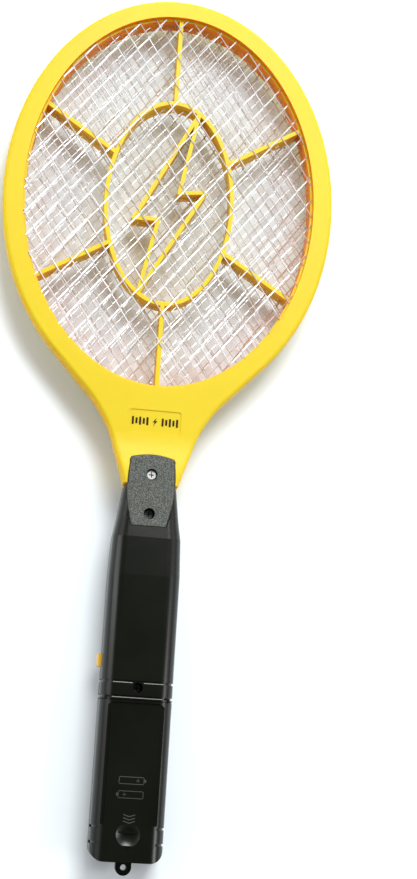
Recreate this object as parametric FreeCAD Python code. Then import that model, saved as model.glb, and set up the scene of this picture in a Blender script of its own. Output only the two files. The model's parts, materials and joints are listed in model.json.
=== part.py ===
import FreeCAD, Part
import math
import os

# Electric fly swatter: an oval yellow racket head with three nets and a black
# two-shell handle that holds two AA cells. It lies on its front face, rear side
# up. +Y runs along the length toward the head, +X to the right and +Z up, and
# the origin is under the middle of the whole length. All sizes in millimetres.

os.makedirs("parts", exist_ok=True)
V = FreeCAD.Vector

# Overall
MID_Z = 13.5            # parting plane of the head and the handle
HEAD_Y = 122.0          # centre of the oval head
RING_A = 91.5           # outer half width of the head
RING_B = 118.0          # outer half length of the head
OPEN_A = 80.7           # half width of the opening
OPEN_B = 108.0          # half length of the opening
RING_HALF = 8.5         # half thickness of the head ring
LEDGE = 1.3             # width of the inner ledge under each outer net
NET_DEPTH = 2.2         # outer net's top face below the ring face
NET_T = 0.6             # thickness of every net

# Ribs of the head
RIB_W = 2.2
OVAL_Y = 120.3
OVAL_A = 36.1
OVAL_B = 59.9
BOLT = [(13.6, 174.0), (-19.1, 109.2), (-5.4, 109.8), (-13.9, 67.0), (20.0, 128.1), (5.2, 126.2)]
SIDE_SPOKES = [((32.0, 146.6), (75.1, 173.4)), ((32.0, 93.8), (73.8, 68.4))]

# Nets
COARSE_W = 11.5
COARSE_H = 15.6
COARSE_STRAND = 0.7
COARSE_TURN = -3.5      # degrees between the outer nets and the object's length
FINE_W = 5.4
FINE_H = 7.4
FINE_STRAND = 0.55
NET_RIM = 0.8
RIM_STEPS = 120

# Neck
NECK_EDGE = [(43.2, 15.0), (32.2, 2.7), (27.9, -4.0), (24.8, -9.6), (20.3, -22.0), (15.7, -36.0)]
NECK_START_Y = 30.0     # the neck leaves the ring's ellipse here
HORN_Y = -39.8
HORN_OUT = 14.6
HORN_IN = 12.9
NECK_RISE = 3.0         # how far the neck rises above the ring face at the handle
RISE_START = -12.4
RISE_END = -36.0
REAR_EDGE_R = 2.0       # rounding of the outer edge on the rear face
FRONT_EDGE_R = 3.0      # rounding of the outer edge on the front face
FRONT_INSET = 1.0       # step of the front half at the parting line
MOUTH_EDGE_R = 0.5      # rounding of the opening's edge
LABEL = (14.0, -11.6, 1.0, 0.4)     # half width, low y, high y, depth
SEAT_GAP = 0.25
TANG_W = 9.0
TANG_T = 2.0
TANG_END = -60.0

# Handle
HANDLE_T = 27.0
HANDLE_W = 18.8         # half width of the grip
HANDLE_END = -232.7
WALL = 2.0
EDGE_R = 8.0
# y, half width, inset of the faces, edge radius
STATIONS = [(-232.7, 18.8, 0.0, 8.0), (-88.0, 18.8, 0.0, 8.0), (-68.0, 18.0, 0.8, 7.5),
            (-57.5, 16.2, 1.9, 6.5), (-41.0, 14.0, 2.6, 5.5)]
TONGUE_W = 11.9
TONGUE_TOP = -26.6
TONGUE_Z = 22.6
PLATE_LOW = -62.2
PLATE_TOP = 24.7
END_CORNER_R = 7.0
SPLIT_Y = -152.3        # battery cover starts here
GAP = 0.3
GROOVES = (-143.2, -150.8)
COVER_GROOVES = (-215.8, -223.6)
GROOVE_W = 1.3
GROOVE_DEPTH = 0.8
LUG_W = 4.1
LUG_Y = -235.9
LUG_HOLE_R = 1.5
LUG_Z = (8.6, 13.2)

# Screws and button
NECK_SCREWS = (-34.3, -55.3)
GRIP_SCREW = -146.0
SCREW_R = 1.3
BUTTON_Y = -132.6
BUTTON_L = 6.6
BUTTON_H = 6.0
BUTTON_OUT = 2.4
BUTTON_TRAVEL = 1.2

SWITCH_X = -12.2

# Circuit
BOARD = (-13.0, 13.0, -122.0, -68.5)
BOARD_Z = (6.0, 7.6)
BOARD_SCREWS = [(x, y) for x in (-9.5, 9.5) for y in (-119.0, -71.5)]
CORE = (-9.0, 9.0, -98.0, -84.0, 9.0, 21.0)
LED_X = 0.0
LED_Y = -126.0
LED_R = 1.5
LEAD_R = 0.5
LEAD_X = 3.4

# Cells
CELL_R = 7.1
CELL_X = 7.4
CELL_Y0 = -223.0
CELL_Y1 = -173.3
CAP_L = 1.0
HEAD_CONTACT_Y = -168.25


def box(x0, x1, y0, y1, z0, z1):
    return Part.makeBox(x1 - x0, y1 - y0, z1 - z0, V(x0, y0, z0))


def post(x, y, z0, z1, r):
    return Part.makeCylinder(r, z1 - z0, V(x, y, z0), V(0, 0, 1))


def bar_y(x, z, y0, y1, r):
    return Part.makeCylinder(r, y1 - y0, V(x, y0, z), V(0, 1, 0))


def bar_x(y, z, x0, x1, r):
    return Part.makeCylinder(r, x1 - x0, V(x0, y, z), V(1, 0, 0))


def fuse(shapes):
    return shapes[0].fuse(shapes[1:]).removeSplitter()


def prism(points, z0, z1):
    corners = [V(x, y, z0) for x, y in points]
    face = Part.Face(Part.makePolygon(corners + corners[:1]))
    return face.extrude(V(0, 0, z1 - z0))


def oval(a, b, cy, z0, z1):
    curve = Part.Ellipse(V(0, cy + b, z0), V(a, cy, z0), V(0, cy, z0))
    return Part.Face(Part.Wire(curve.toShape())).extrude(V(0, 0, z1 - z0))


def mirrored(shape):
    return shape.mirror(V(0, 0, MID_Z), V(0, 0, 1))


def export(name, shape):
    print("%-22s %8.0f mm3, %d solid(s)" % (name, shape.Volume, len(shape.Solids)))
    shape.exportStep("parts/%s.step" % name)


def ring_loop(w, z0, z1, r, y):
    """Rounded rectangle across the handle, as one closed wire."""
    k = r * (1 - math.sqrt(0.5))
    corners = [(w, z1, 1, 1), (-w, z1, -1, 1), (-w, z0, -1, -1), (w, z0, 1, -1)]
    arcs = []
    for i, (cx, cz, sx, sz) in enumerate(corners):
        side = V(cx, y, cz - sz * r)
        flat = V(cx - sx * r, y, cz)
        middle = V(cx - sx * k, y, cz - sz * k)
        first, last = (side, flat) if i % 2 == 0 else (flat, side)
        arcs.append((first, middle, last))
    edges = []
    for i, (first, middle, last) in enumerate(arcs):
        edges.append(Part.Arc(first, middle, last).toShape())
        edges.append(Part.LineSegment(last, arcs[(i + 1) % 4][0]).toShape())
    return Part.Wire(edges)


def handle_loft(inset, y_low, y_high):
    """The handle's long body, drawn inward by inset all round."""
    loops = []
    for i, (y, w, face_in, r) in enumerate(STATIONS):
        if i == 0:
            y = y_low
        if i == len(STATIONS) - 1:
            y = y_high
        z0 = face_in + inset
        z1 = HANDLE_T - face_in - inset
        loops.append(ring_loop(w - inset, z0, z1, r - inset * 0.9, y))
    return Part.makeLoft(loops, True, True)


def tongue(inset):
    """The part of the handle that lies between the neck's two horns."""
    z0 = 2 * MID_Z - TONGUE_Z + inset
    z1 = TONGUE_Z - inset
    w = TONGUE_W - inset
    return box(-w, w, STATIONS[-1][0] - 2 - inset, TONGUE_TOP - inset, z0, z1)


def plan_end():
    """Plan outline with the rounded corners of the handle's lower end."""
    w = HANDLE_W + 5
    body = box(-HANDLE_W, HANDLE_W, HANDLE_END, -20, -1, HANDLE_T + 1)
    corners = [e for e in body.Edges if abs(e.BoundBox.YMax - HANDLE_END) < 0.01 and e.BoundBox.ZLength > 20]
    rounded = body.makeFillet(END_CORNER_R, corners)
    return rounded.fuse(box(-w, w, HANDLE_END + 10, -20, -1, HANDLE_T + 1))


def groove_cut(y):
    """Tool that cuts one groove all round the grip."""
    outer = box(-HANDLE_W - 1, HANDLE_W + 1, y - GROOVE_W / 2, y + GROOVE_W / 2, -1, HANDLE_T + 1)
    d = GROOVE_DEPTH
    loops = [ring_loop(HANDLE_W - d, d, HANDLE_T - d, EDGE_R - d, yy) for yy in (y - 2, y + 2)]
    return outer.cut(Part.makeLoft(loops, True, True))


def button_window():
    half = BUTTON_L / 2 + GAP
    tall = BUTTON_H / 2 + GAP
    return box(-HANDLE_W - 3, -HANDLE_W + 6, BUTTON_Y - half, BUTTON_Y + half, MID_Z - tall, MID_Z + tall)


def handle_body():
    solid = fuse([handle_loft(0, HANDLE_END, STATIONS[-1][0]), tongue(0)]).common(plan_end())
    hollow = fuse([handle_loft(WALL, HANDLE_END + WALL, STATIONS[-1][0] - WALL), tongue(WALL)])
    # the wall under the neck plate stays whole
    hollow = hollow.cut(box(-30, 30, PLATE_LOW - 1.5, 0, TONGUE_Z - WALL, 40))
    shell = solid.cut(hollow)
    for y in GROOVES:
        shell = shell.cut(groove_cut(y))
    slot = box(-TANG_W - GAP, TANG_W + GAP, TANG_END - GAP, -20, MID_Z - TANG_T - 0.1, MID_Z + TANG_T + 0.1)
    return shell.cut(slot).cut(button_window())


def plate_outline(grow, z0, z1):
    crown = V(0, -23.6 + grow, z0)
    left = V(-11.4 - grow, -25.6 + grow, z0)
    right = V(11.4 + grow, -25.6 + grow, z0)
    low_left = V(-9.3 - grow, PLATE_LOW - grow, z0)
    low_right = V(9.3 + grow, PLATE_LOW - grow, z0)
    edges = [Part.Arc(left, crown, right).toShape(),
             Part.Arc(right, V(12.4 + grow, -44.0, z0), low_right).toShape(),
             Part.LineSegment(low_right, low_left).toShape(),
             Part.Arc(low_left, V(-12.4 - grow, -44.0, z0), left).toShape()]
    return Part.Face(Part.Wire(edges)).extrude(V(0, 0, z1 - z0))


def neck_plate():
    plate = plate_outline(0, TONGUE_Z, PLATE_TOP)
    top_edges = [e for e in plate.Edges if e.BoundBox.ZMin > PLATE_TOP - 0.01]
    plate = plate.makeChamfer(0.5, top_edges)
    for y in NECK_SCREWS:
        plate = plate.cut(post(0, y, TONGUE_Z - 1, PLATE_TOP + 1, 3.0))
    return plate


def rear_half(shape, y_low, y_high):
    return shape.common(box(-30, 30, y_low, y_high, MID_Z, HANDLE_T + 5))


def rear_handle_shell(body):
    shell = rear_half(body, SPLIT_Y, 0)
    shell = shell.cut(plate_outline(0.15, TONGUE_Z, HANDLE_T + 1))
    # screw well and its tube
    well = post(0, GRIP_SCREW, MID_Z + 3.2, HANDLE_T - 0.6, 4.4)
    shell = fuse([shell, well])
    shell = shell.cut(post(0, GRIP_SCREW, MID_Z + 5.5, HANDLE_T + 1, 2.6))
    shell = shell.cut(post(0, GRIP_SCREW, MID_Z, HANDLE_T, SCREW_R + 0.3))
    # end wall above the cells, and the bosses under the plate
    wall = box(-16.6, 16.6, SPLIT_Y, SPLIT_Y + 1.6, MID_Z + 1, HANDLE_T - 1.5)
    shell = fuse([shell, wall.cut(post(0, GRIP_SCREW, 0, 40, 4.4))])
    for y in NECK_SCREWS:
        shell = fuse([shell, post(0, y, MID_Z + TANG_T + 0.1, TONGUE_Z - 0.2, 4.0)])
        shell = shell.cut(post(0, y, MID_Z + 5.6, HANDLE_T, 3.0))
        shell = shell.cut(post(0, y, MID_Z, HANDLE_T, SCREW_R + 0.3))
    return shell


def front_handle_shell(body):
    shell = body.common(box(-30, 30, -260, 0, -5, MID_Z))
    bosses = [post(0, GRIP_SCREW, WALL / 2, MID_Z + 3.1, 3.4)]
    for y, low in zip(NECK_SCREWS, (5.5, 2.9)):
        bosses.append(post(0, y, low, MID_Z - TANG_T - 0.1, 3.6))
    shell = fuse([shell] + bosses)
    # partition behind the cells, cradles under them and the rails of the cover
    wall = box(-16.6, 16.6, -167.5, -165.7, WALL / 2, 20.0)
    cradles = [box(-16.6, 16.6, y, y + 1.6, WALL / 2, 9.0) for y in (-190.0, -208.0)]
    rails = []
    for side in (-1, 1):
        x0, x1 = sorted((side * 14.9, side * 16.4))
        rails.append(box(x0, x1, -228.0, -165.7, 10.0, 18.0))
        x0, x1 = sorted((side * 16.3, side * 17.0))
        rails.append(box(x0, x1, -226.0, -168.0, 15.8, 17.2))
    shell = fuse([shell, wall] + cradles + rails)
    for side in (-1, 1):
        shell = shell.cut(bar_y(side * CELL_X, MID_Z, -228.2, -167.7, CELL_R + 0.25))
    # standoffs of the circuit board
    for x, y in BOARD_SCREWS:
        shell = fuse([shell, post(x, y, WALL / 2, BOARD_Z[0], 2.2)])
        shell = shell.cut(post(x, y, 2.5, 7, 0.8))
    # hanging lug
    arm = box(-LUG_W, LUG_W, LUG_Y, HANDLE_END + 1.0, LUG_Z[0], LUG_Z[1])
    shell = fuse([shell, arm, post(0, LUG_Y, LUG_Z[0], LUG_Z[1], LUG_W)])
    shell = shell.cut(post(0, LUG_Y, 0, 30, LUG_HOLE_R))
    # pilot holes and the indicator's window
    shell = shell.cut(post(0, GRIP_SCREW, 3.5, 30, SCREW_R))
    for y in NECK_SCREWS:
        shell = shell.cut(post(0, y, 6.5, 30, SCREW_R))
    return shell.cut(post(LED_X, LED_Y, -1, 5, LED_R + 0.1))


def battery_cover(body):
    cover = rear_half(body, -260, SPLIT_Y - GAP).cut(box(-30, 30, -260, 0, 0, MID_Z + 0.2))
    for y in COVER_GROOVES:
        cover = cover.cut(groove_cut(y).cut(box(-14, 14, y - 3, y + 3, 20, 40)))
    # grooves that run on the rails
    for side in (-1, 1):
        x0, x1 = sorted((side * 16.0, side * 17.4))
        cover = cover.cut(box(x0, x1, -226.5, SPLIT_Y, 15.5, 17.5))
    # sunk border with the raised panel inside it
    border = rounded_panel(15.6, -228.6, -153.6, 5.0, HANDLE_T - 0.9, HANDLE_T + 1)
    panel = rounded_panel(12.7, -229.6, -156.6, 2.6, HANDLE_T - 2, HANDLE_T - 0.35)
    lower = box(-16, 16, -240, -214.5, HANDLE_T - 2, HANDLE_T + 2)
    cover = cover.cut(border.cut(panel).cut(lower))
    # thumb recess with its ridge
    scoop = Part.makeSphere(14.0, V(0, -219.0, HANDLE_T + 12.6), V(1, 0, 0), -90, 90, 360)
    cover = cover.cut(scoop.common(box(-9, 9, -224.5, -214.0, 20, 40)))
    cover = fuse([cover, box(-5.0, 5.0, -218.4, -217.6, HANDLE_T - 2.0, HANDLE_T - 0.3)])
    # small arrow that points the way the cover slides
    arrow = prism([(-1.6, -224.8), (1.6, -224.8), (0, -227.4)], HANDLE_T - 0.5, HANDLE_T + 1)
    return cover.cut(arrow)


def rounded_panel(w, y0, y1, r, z0, z1):
    """Panel with its two upper corners rounded."""
    body = box(-w, w, y0, y1, z0, z1)
    edges = [e for e in body.Edges if e.BoundBox.YMin > y1 - 0.01 and e.BoundBox.XLength < 0.01
             and e.BoundBox.YLength < 0.01]
    return body.makeFillet(r, edges)


def rib(p, q, z0, z1):
    """Straight rib between two points, with round ends."""
    (x0, y0), (x1, y1) = p, q
    length = math.hypot(x1 - x0, y1 - y0)
    bar = Part.makeBox(length, RIB_W, z1 - z0, V(0, -RIB_W / 2, z0))
    bar.rotate(V(0, 0, 0), V(0, 0, 1), math.degrees(math.atan2(y1 - y0, x1 - x0)))
    bar.translate(V(x0, y0, 0))
    return bar.fuse(post(x0, y0, z0, z1, RIB_W / 2)).fuse(post(x1, y1, z0, z1, RIB_W / 2))


def head_outline(z, inset):
    """Closed plan outline of the head: the ring's ellipse, the neck and its blunt end."""
    a = RING_A - inset
    b = RING_B - inset
    y0 = NECK_START_Y
    x0 = a * math.sqrt(1 - ((y0 - HEAD_Y) / b) ** 2)
    ellipse = Part.Ellipse(V(0, HEAD_Y + b, z), V(a, HEAD_Y, z), V(0, HEAD_Y, z))
    first = ellipse.parameter(V(-x0, y0, z))
    last = ellipse.parameter(V(x0, y0, z))
    away = V((y0 - HEAD_Y) / b ** 2, -x0 / a ** 2, 0)
    points = [V(x0, y0, z)] + [V(x - inset, y, z) for x, y in NECK_EDGE]
    low = [points[-1], V(HORN_OUT - inset, HORN_Y, z), V(inset - HORN_OUT, HORN_Y, z)]
    low.append(V(-points[-1].x, points[-1].y, z))
    curve = Part.BSplineCurve()
    curve.interpolate(Points=points, InitialTangent=away, FinalTangent=low[1] - low[0])
    right = curve.toShape()
    edges = [Part.ArcOfEllipse(ellipse, first, last).toShape(), right]
    edges += [Part.LineSegment(low[i], low[i + 1]).toShape() for i in range(3)]
    edges.append(right.mirror(V(0, 0, 0), V(1, 0, 0)))
    return Part.Wire(Part.__sortEdges__(edges))


def head_profile():
    """Side profile that lifts the neck smoothly toward the handle."""
    top = MID_Z + RING_HALF
    high = top + NECK_RISE
    rise = Part.BSplineCurve()
    middle = V(-120, (RISE_START + RISE_END) / 2, (top + high) / 2)
    rise.interpolate(Points=[V(-120, RISE_START, top), middle, V(-120, RISE_END, high)],
                     InitialTangent=V(0, -1, 0), FinalTangent=V(0, -1, 0))
    points = [(RISE_END, high), (-60, high), (-60, MID_Z), (300, MID_Z), (300, top), (RISE_START, top)]
    sides = Part.makePolygon([V(-120, y, z) for y, z in points])
    face = Part.Face(Part.Wire([rise.toShape()] + sides.Edges))
    return face.extrude(V(240, 0, 0))


def head_blank(inset, edge_r):
    """Solid head half with a rounded outer edge, before anything is cut out of it."""
    top = MID_Z + RING_HALF
    plan = Part.Face(head_outline(MID_Z, inset))
    blank = plan.extrude(V(0, 0, RING_HALF + NECK_RISE)).common(head_profile())
    rim = []
    for e in blank.Edges:
        b = e.BoundBox
        across = b.XMin < 0 < b.XMax and b.YLength < 0.01
        if b.ZMin > top - 0.01 and not across:
            rim.append(e)
    return blank.makeFillet(edge_r, rim)


def head_frame(blank):
    """One half of the head, drawn as the rear half."""
    top = MID_Z + RING_HALF
    ledge_z = top - NET_DEPTH - NET_T
    high = top + NECK_RISE
    frame = blank.cut(oval(OPEN_A, OPEN_B, HEAD_Y, ledge_z, high + 1))
    mouth = [e for e in frame.Edges if e.BoundBox.ZMin > top - 0.01 and type(e.Curve).__name__ == "Ellipse"]
    frame = frame.makeFillet(MOUTH_EDGE_R, mouth)
    frame = frame.cut(oval(OPEN_A - LEDGE, OPEN_B - LEDGE, HEAD_Y, MID_Z - 1, high + 1))
    # seat of the handle's tongue between the horns, and the tang inside it
    side = TONGUE_W + SEAT_GAP
    half = [(side, TONGUE_TOP + SEAT_GAP), (side, -30.0), (HORN_IN, HORN_Y - 1)]
    seat = prism(half + [(-x, y) for x, y in reversed(half)], 0, 60)
    frame = frame.cut(seat).cut(plate_outline(SEAT_GAP, TONGUE_Z - 1, 60))
    tang = box(-TANG_W, TANG_W, TANG_END, -20, MID_Z, MID_Z + TANG_T)
    frame = fuse([frame, tang])
    for y in NECK_SCREWS:
        frame = frame.cut(post(0, y, 0, 60, SCREW_R + 0.3))
    # channel of the leads, and the sunk label field
    frame = frame.cut(box(-5, 5, -62, 16, MID_Z - 1, MID_Z + 1.5))
    w, y0, y1, depth = LABEL
    field = box(-w, w, y0, y1, top - depth, top + 1)
    upright = [e for e in field.Edges if e.BoundBox.ZLength > depth]
    frame = frame.cut(field.makeFillet(1.5, upright))
    # ribs: spokes, oval and the bolt
    ribs = [rib((0, 61.6), (0, 11.6), MID_Z, ledge_z), rib((0, 179.0), (0, 233.0), MID_Z, ledge_z)]
    for inner, outer in SIDE_SPOKES:
        for side in (-1, 1):
            ribs.append(rib((side * inner[0], inner[1]), (side * outer[0], outer[1]), MID_Z, ledge_z))
    for i, p in enumerate(BOLT):
        ribs.append(rib(p, BOLT[(i + 1) % len(BOLT)], MID_Z, ledge_z))
    hoop = oval(OVAL_A, OVAL_B, OVAL_Y, MID_Z, ledge_z)
    hoop = hoop.cut(oval(OVAL_A - RIB_W, OVAL_B - RIB_W, OVAL_Y, MID_Z - 1, ledge_z + 1))
    frame = fuse([frame, hoop] + ribs)
    # half of the pocket that holds the centre net
    return frame.cut(oval(OPEN_A + 2.0, OPEN_B + 2.0, HEAD_Y, MID_Z - 1, MID_Z + NET_T / 2))


def clip(points, rim):
    """Cut a polygon back to a convex rim, one rim edge at a time."""
    for i, a in enumerate(rim):
        b = rim[(i + 1) % len(rim)]
        kept = []
        for j, p in enumerate(points):
            q = points[(j + 1) % len(points)]
            dp = (b[0] - a[0]) * (p[1] - a[1]) - (b[1] - a[1]) * (p[0] - a[0])
            dq = (b[0] - a[0]) * (q[1] - a[1]) - (b[1] - a[1]) * (q[0] - a[0])
            if dp >= 0:
                kept.append(p)
            if dp * dq < 0:
                t = dp / (dp - dq)
                kept.append((p[0] + t * (q[0] - p[0]), p[1] + t * (q[1] - p[1])))
        points = kept
        if len(points) < 3:
            return []
    return points


def area(points):
    total = 0.0
    for i, p in enumerate(points):
        q = points[(i + 1) % len(points)]
        total += p[0] * q[1] - q[0] * p[1]
    return total / 2


def net(a, b, cell_w, cell_h, strand, turn, z0):
    """Flat oval net: a plate with one diamond hole per cell."""
    rim = []
    for i in range(RIM_STEPS):
        angle = 2 * math.pi * i / RIM_STEPS
        rim.append(((a - NET_RIM) * math.cos(angle), (b - NET_RIM) * math.sin(angle)))
    slope = math.hypot(cell_w, cell_h)
    half_w = cell_w / 2 - strand * slope / (2 * cell_h)
    half_h = cell_h / 2 - strand * slope / (2 * cell_w)
    c = math.cos(math.radians(turn))
    s = math.sin(math.radians(turn))
    holes = []
    columns = int(1.3 * a / cell_w * 2)
    rows = int(1.3 * b / cell_h * 2)
    for i in range(-columns, columns + 1):
        for j in range(-rows, rows + 1):
            if (i + j) % 2:
                continue
            cx = i * cell_w / 2
            cy = j * cell_h / 2
            corners = [(cx + half_w, cy), (cx, cy + half_h), (cx - half_w, cy), (cx, cy - half_h)]
            turned = [(x * c - y * s, x * s + y * c) for x, y in corners]
            hole = clip(turned, rim)
            if hole and area(hole) > 0.6:
                holes.append(hole)
    curve = Part.Ellipse(V(0, HEAD_Y + b, z0), V(a, HEAD_Y, z0), V(0, HEAD_Y, z0))
    wires = [Part.Wire(curve.toShape())]
    for hole in holes:
        corners = [V(x, HEAD_Y + y, z0) for x, y in hole]
        wires.append(Part.makePolygon(corners + corners[:1]))
    return Part.Face(wires).extrude(V(0, 0, NET_T))


def screw(y, z_head, z_tip, head_r, x=0.0):
    """Pan head screw with a cross recess, standing along Z."""
    head = post(x, y, z_head, z_head + 1.6, head_r)
    head = head.makeFillet(0.5, [e for e in head.Edges if e.BoundBox.ZMin > z_head + 1.5])
    shank = post(x, y, z_tip + 1.2, z_head + 0.1, SCREW_R - 0.05)
    tip = Part.makeCone(0.3, SCREW_R - 0.05, 1.3, V(x, y, z_tip), V(0, 0, 1))
    body = fuse([head, shank, tip])
    for dx, dy in ((1.4, 0.3), (0.3, 1.4)):
        body = body.cut(box(x - dx, x + dx, y - dy, y + dy, z_head + 0.8, z_head + 3))
    return body


def power_button():
    y0 = BUTTON_Y - BUTTON_L / 2
    y1 = BUTTON_Y + BUTTON_L / 2
    z0 = MID_Z - BUTTON_H / 2
    z1 = MID_Z + BUTTON_H / 2
    cap = box(-HANDLE_W - BUTTON_OUT, -HANDLE_W + 3.2, y0, y1, z0, z1)
    outer = [e for e in cap.Edges if e.BoundBox.XMax < -HANDLE_W - BUTTON_OUT + 0.01]
    cap = cap.makeFillet(0.7, outer)
    flange = box(-HANDLE_W + WALL + 0.3, -HANDLE_W + 3.3, y0 - 1.6, y1 + 1.6, z0 - 1.4, z1 + 1.4)
    stem = bar_x(BUTTON_Y, MID_Z, -HANDLE_W + 3.0, SWITCH_X - 0.1, 1.4)
    return fuse([cap, flange, stem])


def switch_body():
    case = box(SWITCH_X + BUTTON_TRAVEL, SWITCH_X + 8.0, BUTTON_Y - 4, BUTTON_Y + 4, MID_Z - 6, MID_Z + 4)
    hollow = bar_x(BUTTON_Y, MID_Z, SWITCH_X, SWITCH_X + 3.4, 1.7)
    legs = [box(SWITCH_X + 2.5 + k * 2.2, SWITCH_X + 3.0 + k * 2.2, BUTTON_Y - 0.5, BUTTON_Y + 0.5,
                MID_Z - 9, MID_Z - 5.9) for k in range(2)]
    return fuse([case.cut(hollow)] + legs)


def circuit_board():
    board = box(BOARD[0], BOARD[1], BOARD[2], BOARD[3], BOARD_Z[0], BOARD_Z[1])
    for x, y in BOARD_SCREWS:
        board = board.cut(post(x, y, 0, 20, 1.0))
    return board


def board_screws():
    screws = []
    for x, y in BOARD_SCREWS:
        head = post(x, y, BOARD_Z[1], BOARD_Z[1] + 1.2, 1.8)
        screws.append(head.fuse(post(x, y, 3.0, BOARD_Z[1] + 0.1, 0.75)).removeSplitter())
    return Part.makeCompound(screws)


def transformer_core():
    x0, x1, y0, y1, z0, z1 = CORE
    core = box(*CORE)
    for side in (-1, 1):
        a, b = sorted((side * 3.0, side * 6.6))
        core = core.cut(box(a, b, y0 - 1, y1 + 1, z0 + 2, z1 - 2))
    return core


def transformer_winding():
    x0, x1, y0, y1, z0, z1 = CORE
    coil = box(-6.5, 6.5, y0 - 2.6, y1 + 2.6, z0 + 2.1, z1 - 2.1)
    coil = coil.makeFillet(1.6, [e for e in coil.Edges if e.BoundBox.ZLength > 5])
    base = box(-8.0, 8.0, y0 - 2.6, y0 - 0.1, BOARD_Z[1], z0 + 2.2)
    other = box(-8.0, 8.0, y1 + 0.1, y1 + 2.6, BOARD_Z[1], z0 + 2.2)
    coil = fuse([coil, base, other])
    return coil.cut(box(-3.1, 3.1, y0 - 0.1, y1 + 0.1, 0, 40))


def storage_capacitor():
    body = box(-9.0, 9.0, -113.5, -105.0, BOARD_Z[1] + 1.0, BOARD_Z[1] + 13.0)
    body = body.makeFillet(1.6, [e for e in body.Edges if e.BoundBox.ZLength > 5])
    legs = [post(x, -109.2, BOARD_Z[1], BOARD_Z[1] + 1.2, 0.4) for x in (-7.5, 7.5)]
    return fuse([body] + legs)


def multiplier_capacitors():
    discs = []
    for x in (-10.5, 10.5):
        disc = bar_x(-78.0, BOARD_Z[1] + 5.0, x - 1.3, x + 1.3, 4.0)
        legs = [post(x, y, BOARD_Z[1], BOARD_Z[1] + 3.0, 0.3) for y in (-80.0, -76.0)]
        discs.append(fuse([disc] + legs))
    return Part.makeCompound(discs)


def rectifier_diodes():
    diodes = []
    for x in (-4.5, 0.0, 4.5):
        body = bar_y(x, BOARD_Z[1] + 1.6, -79.1, -74.1, 1.3)
        wire = bar_y(x, BOARD_Z[1] + 1.6, -81.0, -72.2, 0.3)
        feet = [post(x, y, BOARD_Z[1], BOARD_Z[1] + 1.9, 0.3) for y in (-80.7, -72.5)]
        diodes.append(fuse([body, wire] + feet))
    return Part.makeCompound(diodes)


def switching_transistor():
    case = post(-10.9, -102.2, BOARD_Z[1] + 2.0, BOARD_Z[1] + 6.6, 1.9)
    legs = [post(-10.9 + d, -102.2, BOARD_Z[1], BOARD_Z[1] + 2.2, 0.25) for d in (-1.1, 0, 1.1)]
    return fuse([case] + legs)


def resistors():
    group = []
    for x, y in ((-2.0, -117.5), (4.5, -102.7)):
        body = bar_x(y, BOARD_Z[1] + 1.2, x - 3.0, x + 3.0, 1.1)
        wire = bar_x(y, BOARD_Z[1] + 1.2, x - 4.6, x + 4.6, 0.3)
        feet = [post(x + d, y, BOARD_Z[1], BOARD_Z[1] + 1.5, 0.3) for d in (-4.3, 4.3)]
        group.append(fuse([body, wire] + feet))
    return Part.makeCompound(group)


def indicator_led():
    lens = post(LED_X, LED_Y, 0.3, 4.6, LED_R)
    rim = post(LED_X, LED_Y, 4.5, 5.4, 2.0)
    legs = [post(LED_X, LED_Y + d, 5.3, 9.0, 0.25) for d in (-0.9, 0.9)]
    return fuse([lens, rim] + legs)


def contact_plate(x0, x1, y):
    return box(x0, x1, y, y + 0.5, 6.5, 20.5)


def series_contact():
    plate = contact_plate(-13.0, 13.0, -229.4)
    bump = bar_y(CELL_X, MID_Z, -229.0, CELL_Y0 - CAP_L - 0.05, 2.0)
    return fuse([plate, bump, spring_stack(-CELL_X, -229.0, CELL_Y0 - 0.05)])


def spring_stack(x, y0, y1):
    """Contact spring drawn as closed coils that touch, narrower toward the cell."""
    coils = 5
    step = (y1 - y0) / coils
    rings = []
    for k in range(coils):
        big = 4.6 - 0.5 * k
        y = y0 + k * step
        low, high = sorted((y, y + step))
        tube = bar_y(x, MID_Z, low, high, big).cut(bar_y(x, MID_Z, low - 1, high + 1, big - 1.1))
        rings.append(tube)
    return fuse(rings)


def aa_cell(x, up):
    """Cell with its raised cap toward the head if up is 1, else toward the lug."""
    body = bar_y(x, MID_Z, CELL_Y0, CELL_Y1, CELL_R)
    ends = [e for e in body.Edges if e.BoundBox.YLength < 0.01]
    body = body.makeFillet(0.6, ends)
    if up > 0:
        cap = bar_y(x, MID_Z, CELL_Y1 - 0.1, CELL_Y1 + CAP_L, 2.7)
    else:
        cap = bar_y(x, MID_Z, CELL_Y0 - CAP_L, CELL_Y0 + 0.1, 2.7)
    return fuse([body, cap])


def lead(points):
    """Insulated lead along a few straight runs, mitred at each bend."""
    corners = [V(*p) for p in points]
    profile = Part.Wire(Part.makeCircle(LEAD_R, corners[0], corners[1] - corners[0]))
    sweep = Part.BRepOffsetAPI.MakePipeShell(Part.makePolygon(corners))
    sweep.setTransitionMode(1)
    sweep.add(profile)
    sweep.build()
    sweep.makeSolid()
    return sweep.shape()


def head_contact(x, shape):
    """Contact plate at the head end of the cell at x, with what touches the cell."""
    side = -1 if x < 0 else 1
    x0, x1 = sorted((side * 1.5, side * 13.0))
    return fuse([contact_plate(x0, x1, HEAD_CONTACT_Y), shape])


def outer_net_lead(up):
    """Lead to one outer net. up is 1 for the rear net and -1 for the front net."""
    z = MID_Z + up * 0.9
    end_z = MID_Z + up * (RING_HALF - NET_DEPTH - NET_T)
    top = BOARD_Z[1]
    x = -LEAD_X
    start = -72.4 if up > 0 else -70.2
    return lead([(x, start, top), (x, start, z), (x, 16.7, z), (x, 16.7, end_z)])


def centre_net_lead():
    z = MID_Z + NET_T / 2 + LEAD_R
    x = LEAD_X
    return lead([(x, -70.2, BOARD_Z[1]), (x, -70.2, 11.0), (x, -64.0, z), (x, 13.4, z)])


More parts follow.
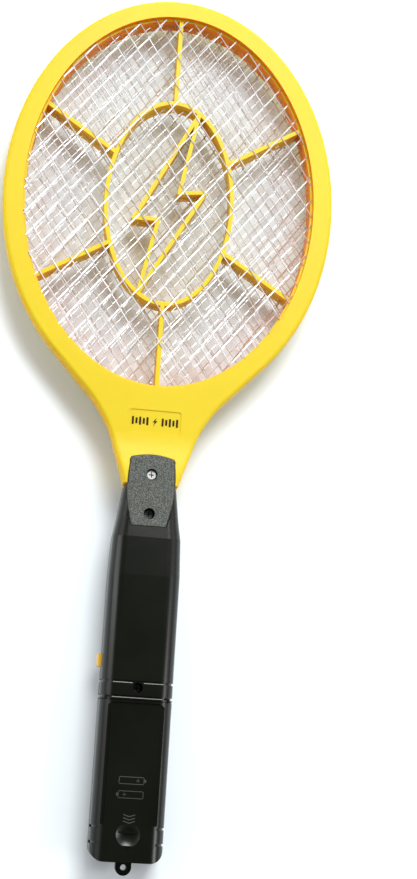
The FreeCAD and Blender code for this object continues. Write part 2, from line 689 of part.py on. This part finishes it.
def battery_lead(side, end):
    """Lead from one head contact, over the partition and down beside the grip boss."""
    x = side * 11.0
    y = HEAD_CONTACT_Y + 0.25
    return lead([(x, y, 20.5), (x, y, 22.2), (x, -163.2, 22.2), (x, -161.0, 12.4), (x, end[1] - 4, 12.4), end])


def battery_leads():
    to_switch = battery_lead(-1, (-9.0, BUTTON_Y - 4.6, 10.0))
    to_board = battery_lead(1, (11.9, -121.4, BOARD_Z[1] + LEAD_R))
    return Part.makeCompound([to_switch, to_board])


def main():
    body = handle_body()
    net_z = MID_Z + RING_HALF - NET_DEPTH - NET_T
    export("rear_head_frame", head_frame(head_blank(0, REAR_EDGE_R)))
    export("front_head_frame", mirrored(head_frame(head_blank(FRONT_INSET, FRONT_EDGE_R))))
    outer = net(OPEN_A - 0.2, OPEN_B - 0.2, COARSE_W, COARSE_H, COARSE_STRAND, COARSE_TURN, net_z)
    export("rear_outer_net", outer)
    export("front_outer_net", mirrored(outer))
    centre = net(OPEN_A + 1.8, OPEN_B + 1.8, FINE_W, FINE_H, FINE_STRAND, 0.0, MID_Z - NET_T / 2)
    export("centre_net", centre)
    export("neck_plate", neck_plate())
    export("rear_handle_shell", rear_handle_shell(body))
    export("front_handle_shell", front_handle_shell(body))
    export("battery_cover", battery_cover(body))
    export("power_button", power_button())
    export("switch_body", switch_body())
    export("circuit_board", circuit_board())
    export("board_screws", board_screws())
    export("transformer_core", transformer_core())
    export("transformer_winding", transformer_winding())
    export("storage_capacitor", storage_capacitor())
    export("multiplier_capacitors", multiplier_capacitors())
    export("rectifier_diodes", rectifier_diodes())
    export("switching_transistor", switching_transistor())
    export("resistors", resistors())
    export("indicator_led", indicator_led())
    export("series_contact", series_contact())
    bump = bar_y(-CELL_X, MID_Z, CELL_Y1 + CAP_L + 0.05, HEAD_CONTACT_Y + 0.1, 2.0)
    export("positive_contact", head_contact(-CELL_X, bump))
    export("negative_contact", head_contact(CELL_X, spring_stack(CELL_X, HEAD_CONTACT_Y, CELL_Y1 + 0.05)))
    export("aa_cell_left", aa_cell(-CELL_X, 1))
    export("aa_cell_right", aa_cell(CELL_X, -1))
    export("upper_neck_screw", screw(NECK_SCREWS[0], MID_Z + 7.6, 7.5, 2.6))
    export("lower_neck_screw", screw(NECK_SCREWS[1], MID_Z + 5.6, 7.5, 2.6))
    export("handle_screw", screw(GRIP_SCREW, MID_Z + 5.5, 4.5, 2.4))
    export("battery_leads", battery_leads())
    export("rear_net_lead", outer_net_lead(1))
    export("front_net_lead", outer_net_lead(-1))
    export("centre_net_lead", centre_net_lead())


main()
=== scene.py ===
import json
import math
import random

import bmesh
import bpy
from mathutils import Euler, Matrix, Vector


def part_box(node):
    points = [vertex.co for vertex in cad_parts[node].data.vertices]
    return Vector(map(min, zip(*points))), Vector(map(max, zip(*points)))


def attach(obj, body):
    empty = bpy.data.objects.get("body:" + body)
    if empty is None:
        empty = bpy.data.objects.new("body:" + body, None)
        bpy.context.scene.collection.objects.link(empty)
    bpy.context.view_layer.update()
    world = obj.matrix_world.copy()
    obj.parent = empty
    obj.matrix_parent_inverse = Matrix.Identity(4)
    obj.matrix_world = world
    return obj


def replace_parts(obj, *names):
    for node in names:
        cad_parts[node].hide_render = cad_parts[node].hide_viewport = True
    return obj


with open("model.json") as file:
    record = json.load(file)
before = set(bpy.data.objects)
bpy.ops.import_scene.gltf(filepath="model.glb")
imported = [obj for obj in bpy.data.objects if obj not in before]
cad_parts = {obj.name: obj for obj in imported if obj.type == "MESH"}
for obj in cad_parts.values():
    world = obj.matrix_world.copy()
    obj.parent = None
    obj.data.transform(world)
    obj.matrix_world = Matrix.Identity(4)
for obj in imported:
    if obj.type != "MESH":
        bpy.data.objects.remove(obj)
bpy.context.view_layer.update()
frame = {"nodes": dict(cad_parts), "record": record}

MM = 0.001
NODES = frame["nodes"]


# ---------------------------------------------------------------- places read from the frame

def corners(node):
    low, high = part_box(node)
    return low, high


def centre(node):
    low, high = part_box(node)
    return (low + high) / 2


head_low, head_high = corners("rear_outer_net")
HEAD = (head_low + head_high) / 2
NET_A = (head_high.x - head_low.x) / 2
NET_B = (head_high.y - head_low.y) / 2
front_low, front_high = corners("front_outer_net")
mid_low, mid_high = corners("centre_net")
cover_low, cover_high = corners("battery_cover")
plate_low, plate_high = corners("neck_plate")


# ---------------------------------------------------------------- material helpers

class Nodes:
    """Small helper that adds nodes to one material and links them by name."""

    def __init__(self, name):
        self.material = bpy.data.materials.new(name)
        self.material.use_nodes = True
        self.tree = self.material.node_tree
        self.shader = self.tree.nodes["Principled BSDF"]
        coordinates = self.tree.nodes.new("ShaderNodeTexCoord")
        self.place = coordinates.outputs["Object"]

    def link(self, source, target):
        self.tree.links.new(source, target)

    def noise(self, scale, detail=4.0, roughness=0.5, distortion=0.0):
        node = self.tree.nodes.new("ShaderNodeTexNoise")
        node.inputs["Scale"].default_value = scale
        node.inputs["Detail"].default_value = detail
        node.inputs["Roughness"].default_value = roughness
        node.inputs["Distortion"].default_value = distortion
        self.link(self.place, node.inputs["Vector"])
        return node.outputs["Fac"]

    def cells(self, scale, randomness=1.0):
        node = self.tree.nodes.new("ShaderNodeTexVoronoi")
        node.inputs["Scale"].default_value = scale
        node.inputs["Randomness"].default_value = randomness
        self.link(self.place, node.inputs["Vector"])
        return node.outputs["Distance"]

    def ramp(self, source, stops):
        node = self.tree.nodes.new("ShaderNodeValToRGB")
        ramp = node.color_ramp
        while len(ramp.elements) < len(stops):
            ramp.elements.new(0.5)
        for element, (at, colour) in zip(ramp.elements, stops):
            element.position = at
            element.color = (*colour, 1.0)
        self.link(source, node.inputs["Fac"])
        return node.outputs["Color"]

    def span(self, source, low, high):
        node = self.tree.nodes.new("ShaderNodeMapRange")
        node.inputs["To Min"].default_value = low
        node.inputs["To Max"].default_value = high
        self.link(source, node.inputs["Value"])
        return node.outputs["Result"]

    def maths(self, operation, a, b):
        node = self.tree.nodes.new("ShaderNodeMath")
        node.operation = operation
        for socket, value in zip(node.inputs, (a, b)):
            if isinstance(value, (int, float)):
                socket.default_value = value
            else:
                self.link(value, socket)
        return node.outputs["Value"]

    def step(self, source, low, high, start=0.0, end=1.0):
        """Smooth step of a value from start at low to end at high."""
        node = self.tree.nodes.new("ShaderNodeMapRange")
        node.interpolation_type = "SMOOTHSTEP"
        for name, value in (("From Min", low), ("From Max", high), ("To Min", start), ("To Max", end)):
            node.inputs[name].default_value = value
        self.link(source, node.inputs["Value"])
        return node.outputs["Result"]

    def blend(self, factor, first, second):
        """Mix of two colour outputs, or of a colour output and a plain colour."""
        node = self.tree.nodes.new("ShaderNodeMix")
        node.data_type = "RGBA"
        self.link(factor, node.inputs[0])
        self.link(first, node.inputs[6])
        if isinstance(second, tuple):
            node.inputs[7].default_value = (*second, 1.0)
        else:
            self.link(second, node.inputs[7])
        return node.outputs[2]

    def axes(self):
        node = self.tree.nodes.new("ShaderNodeSeparateXYZ")
        self.link(self.place, node.inputs["Vector"])
        return node.outputs["X"], node.outputs["Y"], node.outputs["Z"]

    def upright(self):
        """How far the surface normal is from lying flat, 0 on walls and 1 on faces."""
        node = self.tree.nodes.new("ShaderNodeSeparateXYZ")
        coordinates = self.tree.nodes.new("ShaderNodeTexCoord")
        self.link(coordinates.outputs["Normal"], node.inputs["Vector"])
        return self.maths("ABSOLUTE", node.outputs["Z"], 0.0)

    def add(self, a, b, weight):
        node = self.tree.nodes.new("ShaderNodeMath")
        node.operation = "MULTIPLY_ADD"
        node.inputs[1].default_value = weight
        self.link(b, node.inputs[0])
        self.link(a, node.inputs[2])
        return node.outputs["Value"]

    def bump(self, height, strength, distance):
        node = self.tree.nodes.new("ShaderNodeBump")
        node.inputs["Strength"].default_value = strength
        node.inputs["Distance"].default_value = distance
        self.link(height, node.inputs["Height"])
        self.link(node.outputs["Normal"], self.shader.inputs["Normal"])

    def set(self, **values):
        for name, value in values.items():
            self.shader.inputs[name.replace("_", " ")].default_value = value


def shade(colour, factor):
    return tuple(max(0.0, min(1.0, c * factor)) for c in colour)


def plastic(name, colour, gloss, grain=900.0, depth=0.05, spread=0.06, coat=0.0, specular=0.5):
    """Moulded plastic: soft colour drift, uneven gloss and a fine moulded grain."""
    m = Nodes(name)
    drift = m.noise(35.0, 3.0)
    fine = m.noise(grain, 5.0, 0.6)
    m.link(m.ramp(drift, [(0.3, shade(colour, 1 - spread)), (0.7, shade(colour, 1 + spread))]),
           m.shader.inputs["Base Color"])
    m.link(m.span(m.add(drift, fine, 0.5), gloss * 0.75, gloss * 1.15), m.shader.inputs["Roughness"])
    m.bump(m.add(fine, drift, 0.3), depth, 0.0002)
    m.set(Coat_Weight=coat, Coat_Roughness=0.12, Specular_IOR_Level=specular)
    return m.material


def metal(name, colour, gloss, scratch=700.0, depth=0.12, spread=0.1, pure=1.0):
    """Bright metal with fine scratches and uneven gloss."""
    m = Nodes(name)
    drift = m.noise(260.0, 4.0)
    lines = m.noise(scratch, 6.0, 0.7, 1.5)
    m.link(m.ramp(drift, [(0.3, shade(colour, 1 - spread)), (0.7, shade(colour, 1 + spread * 0.5))]),
           m.shader.inputs["Base Color"])
    m.link(m.span(lines, gloss * 0.7, gloss * 1.3), m.shader.inputs["Roughness"])
    m.bump(lines, depth, 0.0001)
    m.set(Metallic=pure)
    return m.material


def spark_texture(name):
    """Dark grey plastic with the coarse sparkle of a spark-eroded mould."""
    m = Nodes(name)
    grains = m.cells(1900.0)
    fine = m.noise(2600.0, 4.0, 0.7)
    mixed = m.add(grains, fine, 0.7)
    m.link(m.ramp(mixed, [(0.45, (0.006, 0.008, 0.006)), (0.75, (0.022, 0.027, 0.021)),
                          (1.0, (0.105, 0.115, 0.100))]), m.shader.inputs["Base Color"])
    m.link(m.span(fine, 0.42, 0.72), m.shader.inputs["Roughness"])
    m.bump(mixed, 0.7, 0.00025)
    return m.material


def yellow_plastic():
    """Deep yellow plastic whose walls and inner faces are painted orange: painted bounce light and shade standing in
    for the light that bounces between them.
    """
    m = Nodes("yellow_plastic")
    drift = m.noise(22.0, 3.0)
    fine = m.noise(1100.0, 4.0, 0.6)
    face = m.ramp(drift, [(0.3, (0.620, 0.472, 0.006)), (0.7, (0.640, 0.500, 0.008))])
    x, y, z = m.axes()
    across = m.maths("POWER", m.maths("ABSOLUTE", m.maths("DIVIDE", x, NET_A), 0.0), 2.0)
    along = m.maths("DIVIDE", m.maths("SUBTRACT", y, HEAD.y), NET_B)
    along = m.maths("POWER", m.maths("ABSOLUTE", along, 0.0), 2.0)
    reach = m.maths("ADD", across, along)
    inner = m.step(reach, 1.02, 1.03, 1.0, 0.0)
    painted_deep_shade_mask = m.maths("MULTIPLY", inner, m.step(reach, 0.955, 0.965))
    painted_bounce_mask = m.step(m.upright(), 0.35, 0.75, 1.0, 0.0)
    # painted bounce light: every wall is painted orange, where light bouncing between the yellow faces would tint it
    colour = m.blend(m.maths("MULTIPLY", painted_bounce_mask, 0.7), face, (0.85, 0.42, 0.004))
    # painted shade: the walls inside the opening are painted a deeper red-orange
    colour = m.blend(m.maths("MULTIPLY", m.maths("MULTIPLY", painted_bounce_mask, painted_deep_shade_mask), 0.9), colour, (0.88, 0.19, 0.001))
    m.link(colour, m.shader.inputs["Base Color"])
    m.link(m.span(m.add(drift, fine, 0.4), 0.34, 0.50), m.shader.inputs["Roughness"])
    m.bump(m.add(fine, drift, 0.4), 0.06, 0.0002)
    m.set(Specular_IOR_Level=0.25, Subsurface_Weight=0.45, Subsurface_Radius=(1.0, 0.42, 0.03), Subsurface_Scale=0.004)
    return m.material


def screw_steel(name, node, colour, gloss):
    """Plated screw steel, with painted shade making it dark inside the driver recess."""
    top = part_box(node)[1].z
    m = Nodes(name)
    drift = m.noise(900.0, 4.0)
    bright = m.ramp(drift, [(0.3, shade(colour, 0.85)), (0.7, shade(colour, 1.1))])
    z = m.axes()[2]
    # painted shade: the steel colour is darkened below the screw top, inside the driver recess
    m.link(m.blend(m.step(z, top - 0.65 * MM, top - 0.30 * MM, 1.0, 0.0), bright, shade(colour, 0.04)),
           m.shader.inputs["Base Color"])
    m.link(m.span(drift, gloss * 0.7, gloss * 1.3), m.shader.inputs["Roughness"])
    m.bump(drift, 0.15, 0.0001)
    m.set(Metallic=0.45)
    return m.material


def board_material():
    m = Nodes("board")
    drift = m.noise(400.0, 5.0)
    m.link(m.ramp(drift, [(0.3, (0.36, 0.23, 0.10)), (0.7, (0.47, 0.32, 0.16))]), m.shader.inputs["Base Color"])
    m.link(m.span(drift, 0.45, 0.65), m.shader.inputs["Roughness"])
    m.bump(drift, 0.1, 0.0002)
    return m.material


def finishes():
    made = {
        "yellow_plastic": yellow_plastic(),
        "black_plastic": plastic("black_plastic", (0.0032, 0.0040, 0.0020), 0.24, 1300.0, 0.05, 0.15, 0.0, 0.34),
        "grey_textured_plastic": spark_texture("grey_textured_plastic"),
        "net_wire": metal("net_wire", (0.66, 0.67, 0.68), 0.28, 1500.0, 0.15, 0.1, 0.6),
        "button_plastic": plastic("button_plastic", (0.74, 0.44, 0.06), 0.30, 1200.0, 0.05, 0.06, 0.3),
        "dark_plastic": plastic("dark_plastic", (0.03, 0.03, 0.035), 0.5, 900.0, 0.08, 0.1),
        "zinc_steel": metal("zinc_steel", (0.70, 0.70, 0.68), 0.32, 1800.0, 0.2),
        "dark_steel": metal("dark_steel", (0.10, 0.10, 0.10), 0.35, 1500.0, 0.2),
        "spring_steel": metal("spring_steel", (0.66, 0.65, 0.62), 0.3, 1200.0, 0.15),
        "board": board_material(),
        "ferrite": plastic("ferrite", (0.05, 0.05, 0.055), 0.65, 2000.0, 0.3, 0.15),
        "winding": plastic("winding", (0.70, 0.50, 0.08), 0.35, 600.0, 0.1, 0.1, 0.2),
        "film_capacitor": plastic("film_capacitor", (0.28, 0.05, 0.03), 0.25, 500.0, 0.1, 0.1, 0.4),
        "ceramic_disc": plastic("ceramic_disc", (0.04, 0.15, 0.42), 0.3, 500.0, 0.12, 0.1, 0.3),
        "diode_glass": plastic("diode_glass", (0.025, 0.025, 0.025), 0.35, 1200.0, 0.1, 0.15),
        "resistor_body": plastic("resistor_body", (0.60, 0.50, 0.34), 0.4, 800.0, 0.1, 0.1),
        "led_red": plastic("led_red", (0.55, 0.02, 0.02), 0.12, 300.0, 0.02, 0.05, 0.6),
        "cell_jacket": plastic("cell_jacket", (0.26, 0.27, 0.29), 0.28, 400.0, 0.03, 0.05, 0.4),
        "lead_red": plastic("lead_red", (0.45, 0.02, 0.02), 0.45, 700.0, 0.08, 0.08),
        "lead_white": plastic("lead_white", (0.72, 0.72, 0.69), 0.45, 700.0, 0.08, 0.05),
    }
    made["label_print"] = plastic("label_print", (0.040, 0.010, 0.002), 0.6, 900.0, 0.05, 0.1, 0.0, 0.1)
    # painted highlight: light grey for the groove lips, standing in for the light they catch
    made["lip_highlight_black"] = plastic("lip_highlight_black", (0.18, 0.18, 0.17), 0.25, 900.0, 0.05, 0.2)
    # painted highlight: lighter black for the raised cover marks, standing in for the light their edges catch
    made["mark_highlight_black"] = plastic("mark_highlight_black", (0.045, 0.046, 0.042), 0.35, 900.0, 0.05, 0.2)
    made["upper_neck_screw"] = screw_steel("upper_screw_steel", "upper_neck_screw", (0.95, 0.95, 0.93), 0.3)
    made["lower_neck_screw"] = screw_steel("lower_screw_steel", "lower_neck_screw", (0.12, 0.12, 0.12), 0.3)
    made["handle_screw"] = screw_steel("grip_screw_steel", "handle_screw", (0.08, 0.08, 0.08), 0.35)
    return made


MATERIAL = finishes()


def dress_nodes():
    """Give every CAD node the finish that its record slot names."""
    for entry in frame["record"]["subparts"]:
        node = NODES[entry["node"]]
        node.data.materials.clear()
        node.data.materials.append(MATERIAL.get(entry["node"]) or MATERIAL[entry["material_slot"]])


# ---------------------------------------------------------------- mesh helpers

def new_piece(name, mesh_data, slot, body="root", material=None):
    piece = bpy.data.objects.new(name, mesh_data)
    bpy.context.scene.collection.objects.link(piece)
    mesh_data.materials.clear()
    mesh_data.materials.append(MATERIAL[material or slot])
    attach(piece, body)
    return piece


def mesh_from(name, vertices, faces):
    data = bpy.data.meshes.new(name)
    data.from_pydata([tuple(v) for v in vertices], [], faces)
    data.validate()
    data.update()
    return data


def ribbon(vertices, faces, p, q, width, thick, lean):
    """Add one flat strand from p to q. Its face leans toward -X by the angle lean, or toward +X if negative."""
    along = (q - p).normalized()
    side = Vector((-along.y, along.x, 0.0)).normalized()
    if side.x < 0:
        side.negate()
    up = Vector((0, 0, 1))
    across = (side * math.cos(lean) + up * math.sin(lean)) * (width / 2)
    lift = (up * math.cos(lean) - side * math.sin(lean)) * (thick / 2)
    start = len(vertices)
    for end in (p, q):
        vertices.extend([end - across - lift, end + across - lift, end + across + lift, end - across + lift])
    a = start
    turned = (q - p).cross(across).dot(lift) < 0
    caps = [(a + 3, a + 2, a + 1, a), (a + 4, a + 5, a + 6, a + 7)]
    caps += [(a + i, a + (i + 1) % 4, a + 4 + (i + 1) % 4, a + 4 + i) for i in range(4)]
    faces.extend(tuple(reversed(cap)) if turned else cap for cap in caps)


# ---------------------------------------------------------------- nets

def inside(p, a, b):
    return ((p.x - HEAD.x) / a) ** 2 + ((p.y - HEAD.y) / b) ** 2 <= 1.0


def trimmed(p, q, a, b):
    """The part of the strand p-q that lies inside the oval, or None."""
    has_p = inside(p, a, b)
    has_q = inside(q, a, b)
    if has_p and has_q:
        return p, q
    if not has_p and not has_q:
        return None
    inner, outer = (p, q) if has_p else (q, p)
    low, high = 0.0, 1.0
    for _ in range(18):
        middle = (low + high) / 2
        if inside(inner.lerp(outer, middle), a, b):
            low = middle
        else:
            high = middle
    cut = inner.lerp(outer, low)
    return (inner, cut) if has_p else (cut, inner)


def net_mesh(name, z, a, b, cell, strand, bond, turns, phase, wobble, seed):
    """Expanded-metal net: short thick bonds joined by four slanting strands each.

    cell is the pitch across and along, strand the width and thickness of a strand, bond the
    length of a bond, and turns the clockwise angles of the rows and of the columns in degrees.
    """
    dice = random.Random(seed)
    width, thick = strand
    row, column = (math.radians(t) for t in turns)
    across = Vector((math.cos(row), -math.sin(row), 0)) * (cell[0] / 2)
    along = Vector((math.sin(column), math.cos(column), 0)) * (cell[1] / 2)
    columns = int(3.2 * a / cell[0]) + 2
    rows = int(3.2 * b / cell[1]) + 2
    start = Vector((phase[0], phase[1], z))
    knots = {}
    for i in range(-columns, columns + 1):
        for j in range(-rows, rows + 1):
            if (i + j) % 2:
                continue
            knot = start + across * i + along * j + Vector((dice.gauss(0, wobble), dice.gauss(0, wobble), 0))
            if inside(knot, a + cell[0], b + cell[1]):
                knots[i, j] = knot
    half_bond = along.normalized() * (bond / 2)
    step = across.normalized() * (width * 0.3)
    vertices = []
    faces = []
    for (i, j), knot in knots.items():
        runs = [(knot - half_bond, knot + half_bond, width * 1.7, thick * 1.15)]
        for side in (-1, 1):
            other = knots.get((i + side, j + 1))
            if other is not None:
                p = knot + half_bond * 0.75 + step * side
                q = other - half_bond * 0.75 - step * side
                runs.append((p, q, width * dice.uniform(0.88, 1.12), thick))
        for p, q, run_width, run_thick in runs:
            kept = trimmed(p, q, a, b)
            if kept and (kept[1] - kept[0]).length > width * 0.5:
                ribbon(vertices, faces, kept[0], kept[1], run_width, run_thick, LEAN + dice.uniform(-0.12, 0.12))
    return mesh_from(name, vertices, faces)


LEAN = math.radians(-32)
COARSE_CELL = (11.45 * MM, 16.0 * MM)
FINE_CELL = (5.4 * MM, 7.4 * MM)
COARSE_STRAND = (0.72 * MM, 0.26 * MM)
FINE_STRAND = (0.42 * MM, 0.24 * MM)


def add_net(name, node, cell, strand, bond, turns, phase, wobble, seed):
    low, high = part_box(node)
    margin = 0.3 * MM
    data = net_mesh(name, (low.z + high.z) / 2, (high.x - low.x) / 2 - margin, (high.y - low.y) / 2 - margin,
                    cell, strand, bond, turns, phase, wobble, seed)
    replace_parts(new_piece(name, data, "net_wire"), node)


def make_nets():
    add_net("rear_net_strands", "rear_outer_net", COARSE_CELL, COARSE_STRAND, 1.4 * MM, (1.5, 1.8),
            (4.9 * MM, HEAD.y + 93.8 * MM), 0.10 * MM, 11)
    add_net("front_net_strands", "front_outer_net", COARSE_CELL, COARSE_STRAND, 1.4 * MM, (-1.0, -0.5),
            (1.6 * MM, HEAD.y + 3.0 * MM), 0.10 * MM, 12)
    add_net("centre_net_strands", "centre_net", FINE_CELL, FINE_STRAND, 0.9 * MM, (2.0, 2.5),
            (0.0, HEAD.y), 0.06 * MM, 13)


# ---------------------------------------------------------------- printed and raised marks

def bar_face(vertices, faces, points, z, height):
    """Add one thin raised plate with the given outline."""
    start = len(vertices)
    count = len(points)
    for level in (z, z + height):
        for x, y in points:
            vertices.append(Vector((x, y, level)))
    faces.append(tuple(start + count + i for i in range(count)))
    faces.append(tuple(start + count - 1 - i for i in range(count)))
    for i in range(count):
        j = (i + 1) % count
        faces.append((start + i, start + j, start + count + j, start + count + i))


def rectangle(x0, x1, y0, y1):
    return [(x0, y0), (x1, y0), (x1, y1), (x0, y1)]


def label_mark():
    """Generic print in the neck's sunk field: plain bars on both sides of a small bolt."""
    ring_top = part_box("rear_head_frame")[1].z - 3.0 * MM
    z = ring_top - 0.4 * MM
    cy = -5.2 * MM
    vertices = []
    faces = []
    for side in (-1, 1):
        for k in range(5):
            x = side * (4.1 + 1.95 * k) * MM
            tall = (2.2 if k % 2 == 0 else 1.6) * MM
            bar_face(vertices, faces, rectangle(x - 0.55 * MM, x + 0.55 * MM, cy - tall, cy + tall), z, 0.05 * MM)
    bolt = [(0.9, 2.3), (-1.3, -0.35), (-0.1, -0.35), (-0.9, -2.3), (1.3, 0.45), (0.15, 0.45)]
    bar_face(vertices, faces, [(x * MM, cy + y * MM) for x, y in bolt], z, 0.05 * MM)
    new_piece("label_mark", mesh_from("label_mark", vertices, faces), "dark_plastic", material="label_print")


def battery_symbol(vertices, faces, cx, cy, z, half_w, half_h, flip):
    """Raised outline of a cell with its cap and one polarity bar."""
    t = 0.35 * MM
    h = 0.22 * MM
    bar_face(vertices, faces, rectangle(cx - half_w, cx + half_w, cy + half_h - t, cy + half_h), z, h)
    bar_face(vertices, faces, rectangle(cx - half_w, cx + half_w, cy - half_h, cy - half_h + t), z, h)
    for side in (-1, 1):
        x = cx + side * (half_w - t / 2)
        bar_face(vertices, faces, rectangle(x - t / 2, x + t / 2, cy - half_h, cy + half_h), z, h)
    cap = cx + flip * (half_w + 0.5 * MM)
    bar_face(vertices, faces, rectangle(cap - 0.4 * MM, cap + 0.4 * MM, cy - 0.7 * MM, cy + 0.7 * MM), z, h)
    plus = cx + flip * half_w * 0.5
    bar_face(vertices, faces, rectangle(plus - 0.8 * MM, plus + 0.8 * MM, cy - t / 2, cy + t / 2), z, h)
    bar_face(vertices, faces, rectangle(plus - t / 2, plus + t / 2, cy - 0.8 * MM, cy + 0.8 * MM), z, h)


def cover_symbols():
    """Raised symbols on the battery cover, in place of its lettering."""
    panel_z = cover_high.z - 0.42 * MM
    vertices = []
    faces = []
    battery_symbol(vertices, faces, 0.0, -192.5 * MM, panel_z, 6.5 * MM, 1.9 * MM, 1)
    battery_symbol(vertices, faces, 0.0, -199.5 * MM, panel_z, 6.5 * MM, 1.9 * MM, -1)
    for k in range(3):
        y = -210.5 * MM - 1.6 * MM * k
        chevron = [(-3.0 * MM, y + 1.0 * MM), (0.0, y), (3.0 * MM, y + 1.0 * MM),
                   (3.0 * MM, y + 1.5 * MM), (0.0, y + 0.5 * MM), (-3.0 * MM, y + 1.5 * MM)]
        bar_face(vertices, faces, chevron, panel_z, 0.22 * MM)
    # the raised marks use the lighter black as a painted highlight
    new_piece("cover_symbols", mesh_from("cover_symbols", vertices, faces), "dark_plastic", "cover",
              "mark_highlight_black")


def groove_lips():
    """Rounded lower lips of the two grooves across the grip, painted light grey as a painted highlight where they
    catch the light.
    """
    top = cover_high.z
    vertices = []
    faces = []
    for y, parts in ((-143.85 * MM, ((-13.0, -2.9), (2.9, 13.0))), (-151.45 * MM, ((-13.0, 13.0),))):
        for x0, x1 in parts:
            start = len(vertices)
            profile = [(0.0, -0.02), (0.16, -0.05), (0.30, -0.14), (0.40, -0.30), (0.42, -0.62), (0.0, -0.62)]
            for x in (x0 * MM, x1 * MM):
                for dy, dz in profile:
                    vertices.append(Vector((x, y + dy * MM, top + dz * MM)))
            count = len(profile)
            faces.append(tuple(start + i for i in range(count)))
            faces.append(tuple(start + 2 * count - 1 - i for i in range(count)))
            for i in range(count):
                j = (i + 1) % count
                faces.append((start + j, start + i, start + count + i, start + count + j))
    new_piece("groove_lips", mesh_from("groove_lips", vertices, faces), "black_plastic", "root", "lip_highlight_black")


# ---------------------------------------------------------------- stage

def world_light():
    """White studio: bright from the head's side and darker behind the viewer."""
    world = bpy.data.worlds.new("studio")
    bpy.context.scene.world = world
    world.use_nodes = True
    tree = world.node_tree
    background = tree.nodes["Background"]
    coordinates = tree.nodes.new("ShaderNodeTexCoord")
    toward = tree.nodes.new("ShaderNodeVectorMath")
    toward.operation = "DOT_PRODUCT"
    toward.inputs[1].default_value = (-0.10, 0.94, 0.28)
    tree.links.new(coordinates.outputs["Generated"], toward.inputs[0])
    level = tree.nodes.new("ShaderNodeMapRange")
    for name, value in (("From Min", -0.75), ("From Max", 0.85), ("To Min", 0.16), ("To Max", 1.9)):
        level.inputs[name].default_value = value
    tree.links.new(toward.outputs["Value"], level.inputs["Value"])
    # the viewer and the hand above the object darken the sky straight overhead
    split = tree.nodes.new("ShaderNodeSeparateXYZ")
    tree.links.new(coordinates.outputs["Generated"], split.inputs["Vector"])
    overhead = tree.nodes.new("ShaderNodeMapRange")
    overhead.interpolation_type = "SMOOTHSTEP"
    for name, value in (("From Min", 0.62), ("From Max", 0.88), ("To Min", 1.0), ("To Max", 0.08)):
        overhead.inputs[name].default_value = value
    tree.links.new(split.outputs["Z"], overhead.inputs["Value"])
    horizon = tree.nodes.new("ShaderNodeMapRange")
    horizon.interpolation_type = "SMOOTHSTEP"
    for name, value in (("From Min", 0.06), ("From Max", 0.36), ("To Min", 0.40), ("To Max", 1.0)):
        horizon.inputs[name].default_value = value
    tree.links.new(split.outputs["Z"], horizon.inputs["Value"])
    total = level.outputs["Result"]
    for part in (overhead, horizon):
        product = tree.nodes.new("ShaderNodeMath")
        product.operation = "MULTIPLY"
        tree.links.new(total, product.inputs[0])
        tree.links.new(part.outputs["Result"], product.inputs[1])
        total = product.outputs["Value"]
    tree.links.new(total, background.inputs["Strength"])
    background.inputs["Color"].default_value = (1.0, 1.0, 1.0, 1.0)


def area_light(name, place, target, size, power):
    data = bpy.data.lights.new(name, "AREA")
    data.shape = "RECTANGLE"
    data.size, data.size_y = size
    data.energy = power
    light = bpy.data.objects.new(name, data)
    bpy.context.scene.collection.objects.link(light)
    light.location = place
    light.rotation_euler = (Vector(target) - Vector(place)).to_track_quat("-Z", "Y").to_euler()
    return light


def floor():
    half = 3.0
    data = mesh_from("floor", [(-half, -half, 0), (half, -half, 0), (half, half, 0), (-half, half, 0)],
                     [(0, 1, 2, 3)])
    m = Nodes("floor")
    drift = m.noise(6.0, 2.0)
    m.link(m.ramp(drift, [(0.3, (0.84, 0.90, 0.93)), (0.7, (0.85, 0.91, 0.94))]), m.shader.inputs["Base Color"])
    m.set(Roughness=0.8)
    data.materials.append(m.material)
    plane = bpy.data.objects.new("floor", data)
    bpy.context.scene.collection.objects.link(plane)


def camera():
    """Hand-held phone view from above the lower left of the handle."""
    data = bpy.data.cameras.new("camera")
    data.sensor_fit = "VERTICAL"
    data.sensor_height = 36.0
    data.lens = 62.0
    data.clip_end = 20.0
    eye = bpy.data.objects.new("camera", data)
    bpy.context.scene.collection.objects.link(eye)
    turn_x, turn_y, turn_z = (math.radians(a) for a in (-12.15, 7.41, -5.04))
    to_camera = Matrix.Rotation(turn_z, 3, "Z") @ Matrix.Rotation(turn_y, 3, "Y") @ Matrix.Rotation(turn_x, 3, "X")
    eye.matrix_world = Matrix.Translation((-0.0753, -0.1816, 0.8084)) @ to_camera.transposed().to_4x4()
    bpy.context.scene.camera = eye


def main():
    bpy.context.scene.view_settings.view_transform = "Standard"
    dress_nodes()
    make_nets()
    label_mark()
    cover_symbols()
    groove_lips()
    floor()
    world_light()
    area_light("key", (0.25, 0.85, 1.2), (0, 0.02, 0), (0.7, 0.5), 20.0)
    area_light("side", (0.98, -0.27, 0.75), (0, 0.1, 0), (0.40, 0.40), 3.6)
    area_light("fill", (-1.1, 0.1, 0.6), (0, -0.1, 0), (0.25, 0.9), 2.5)
    camera()


main()
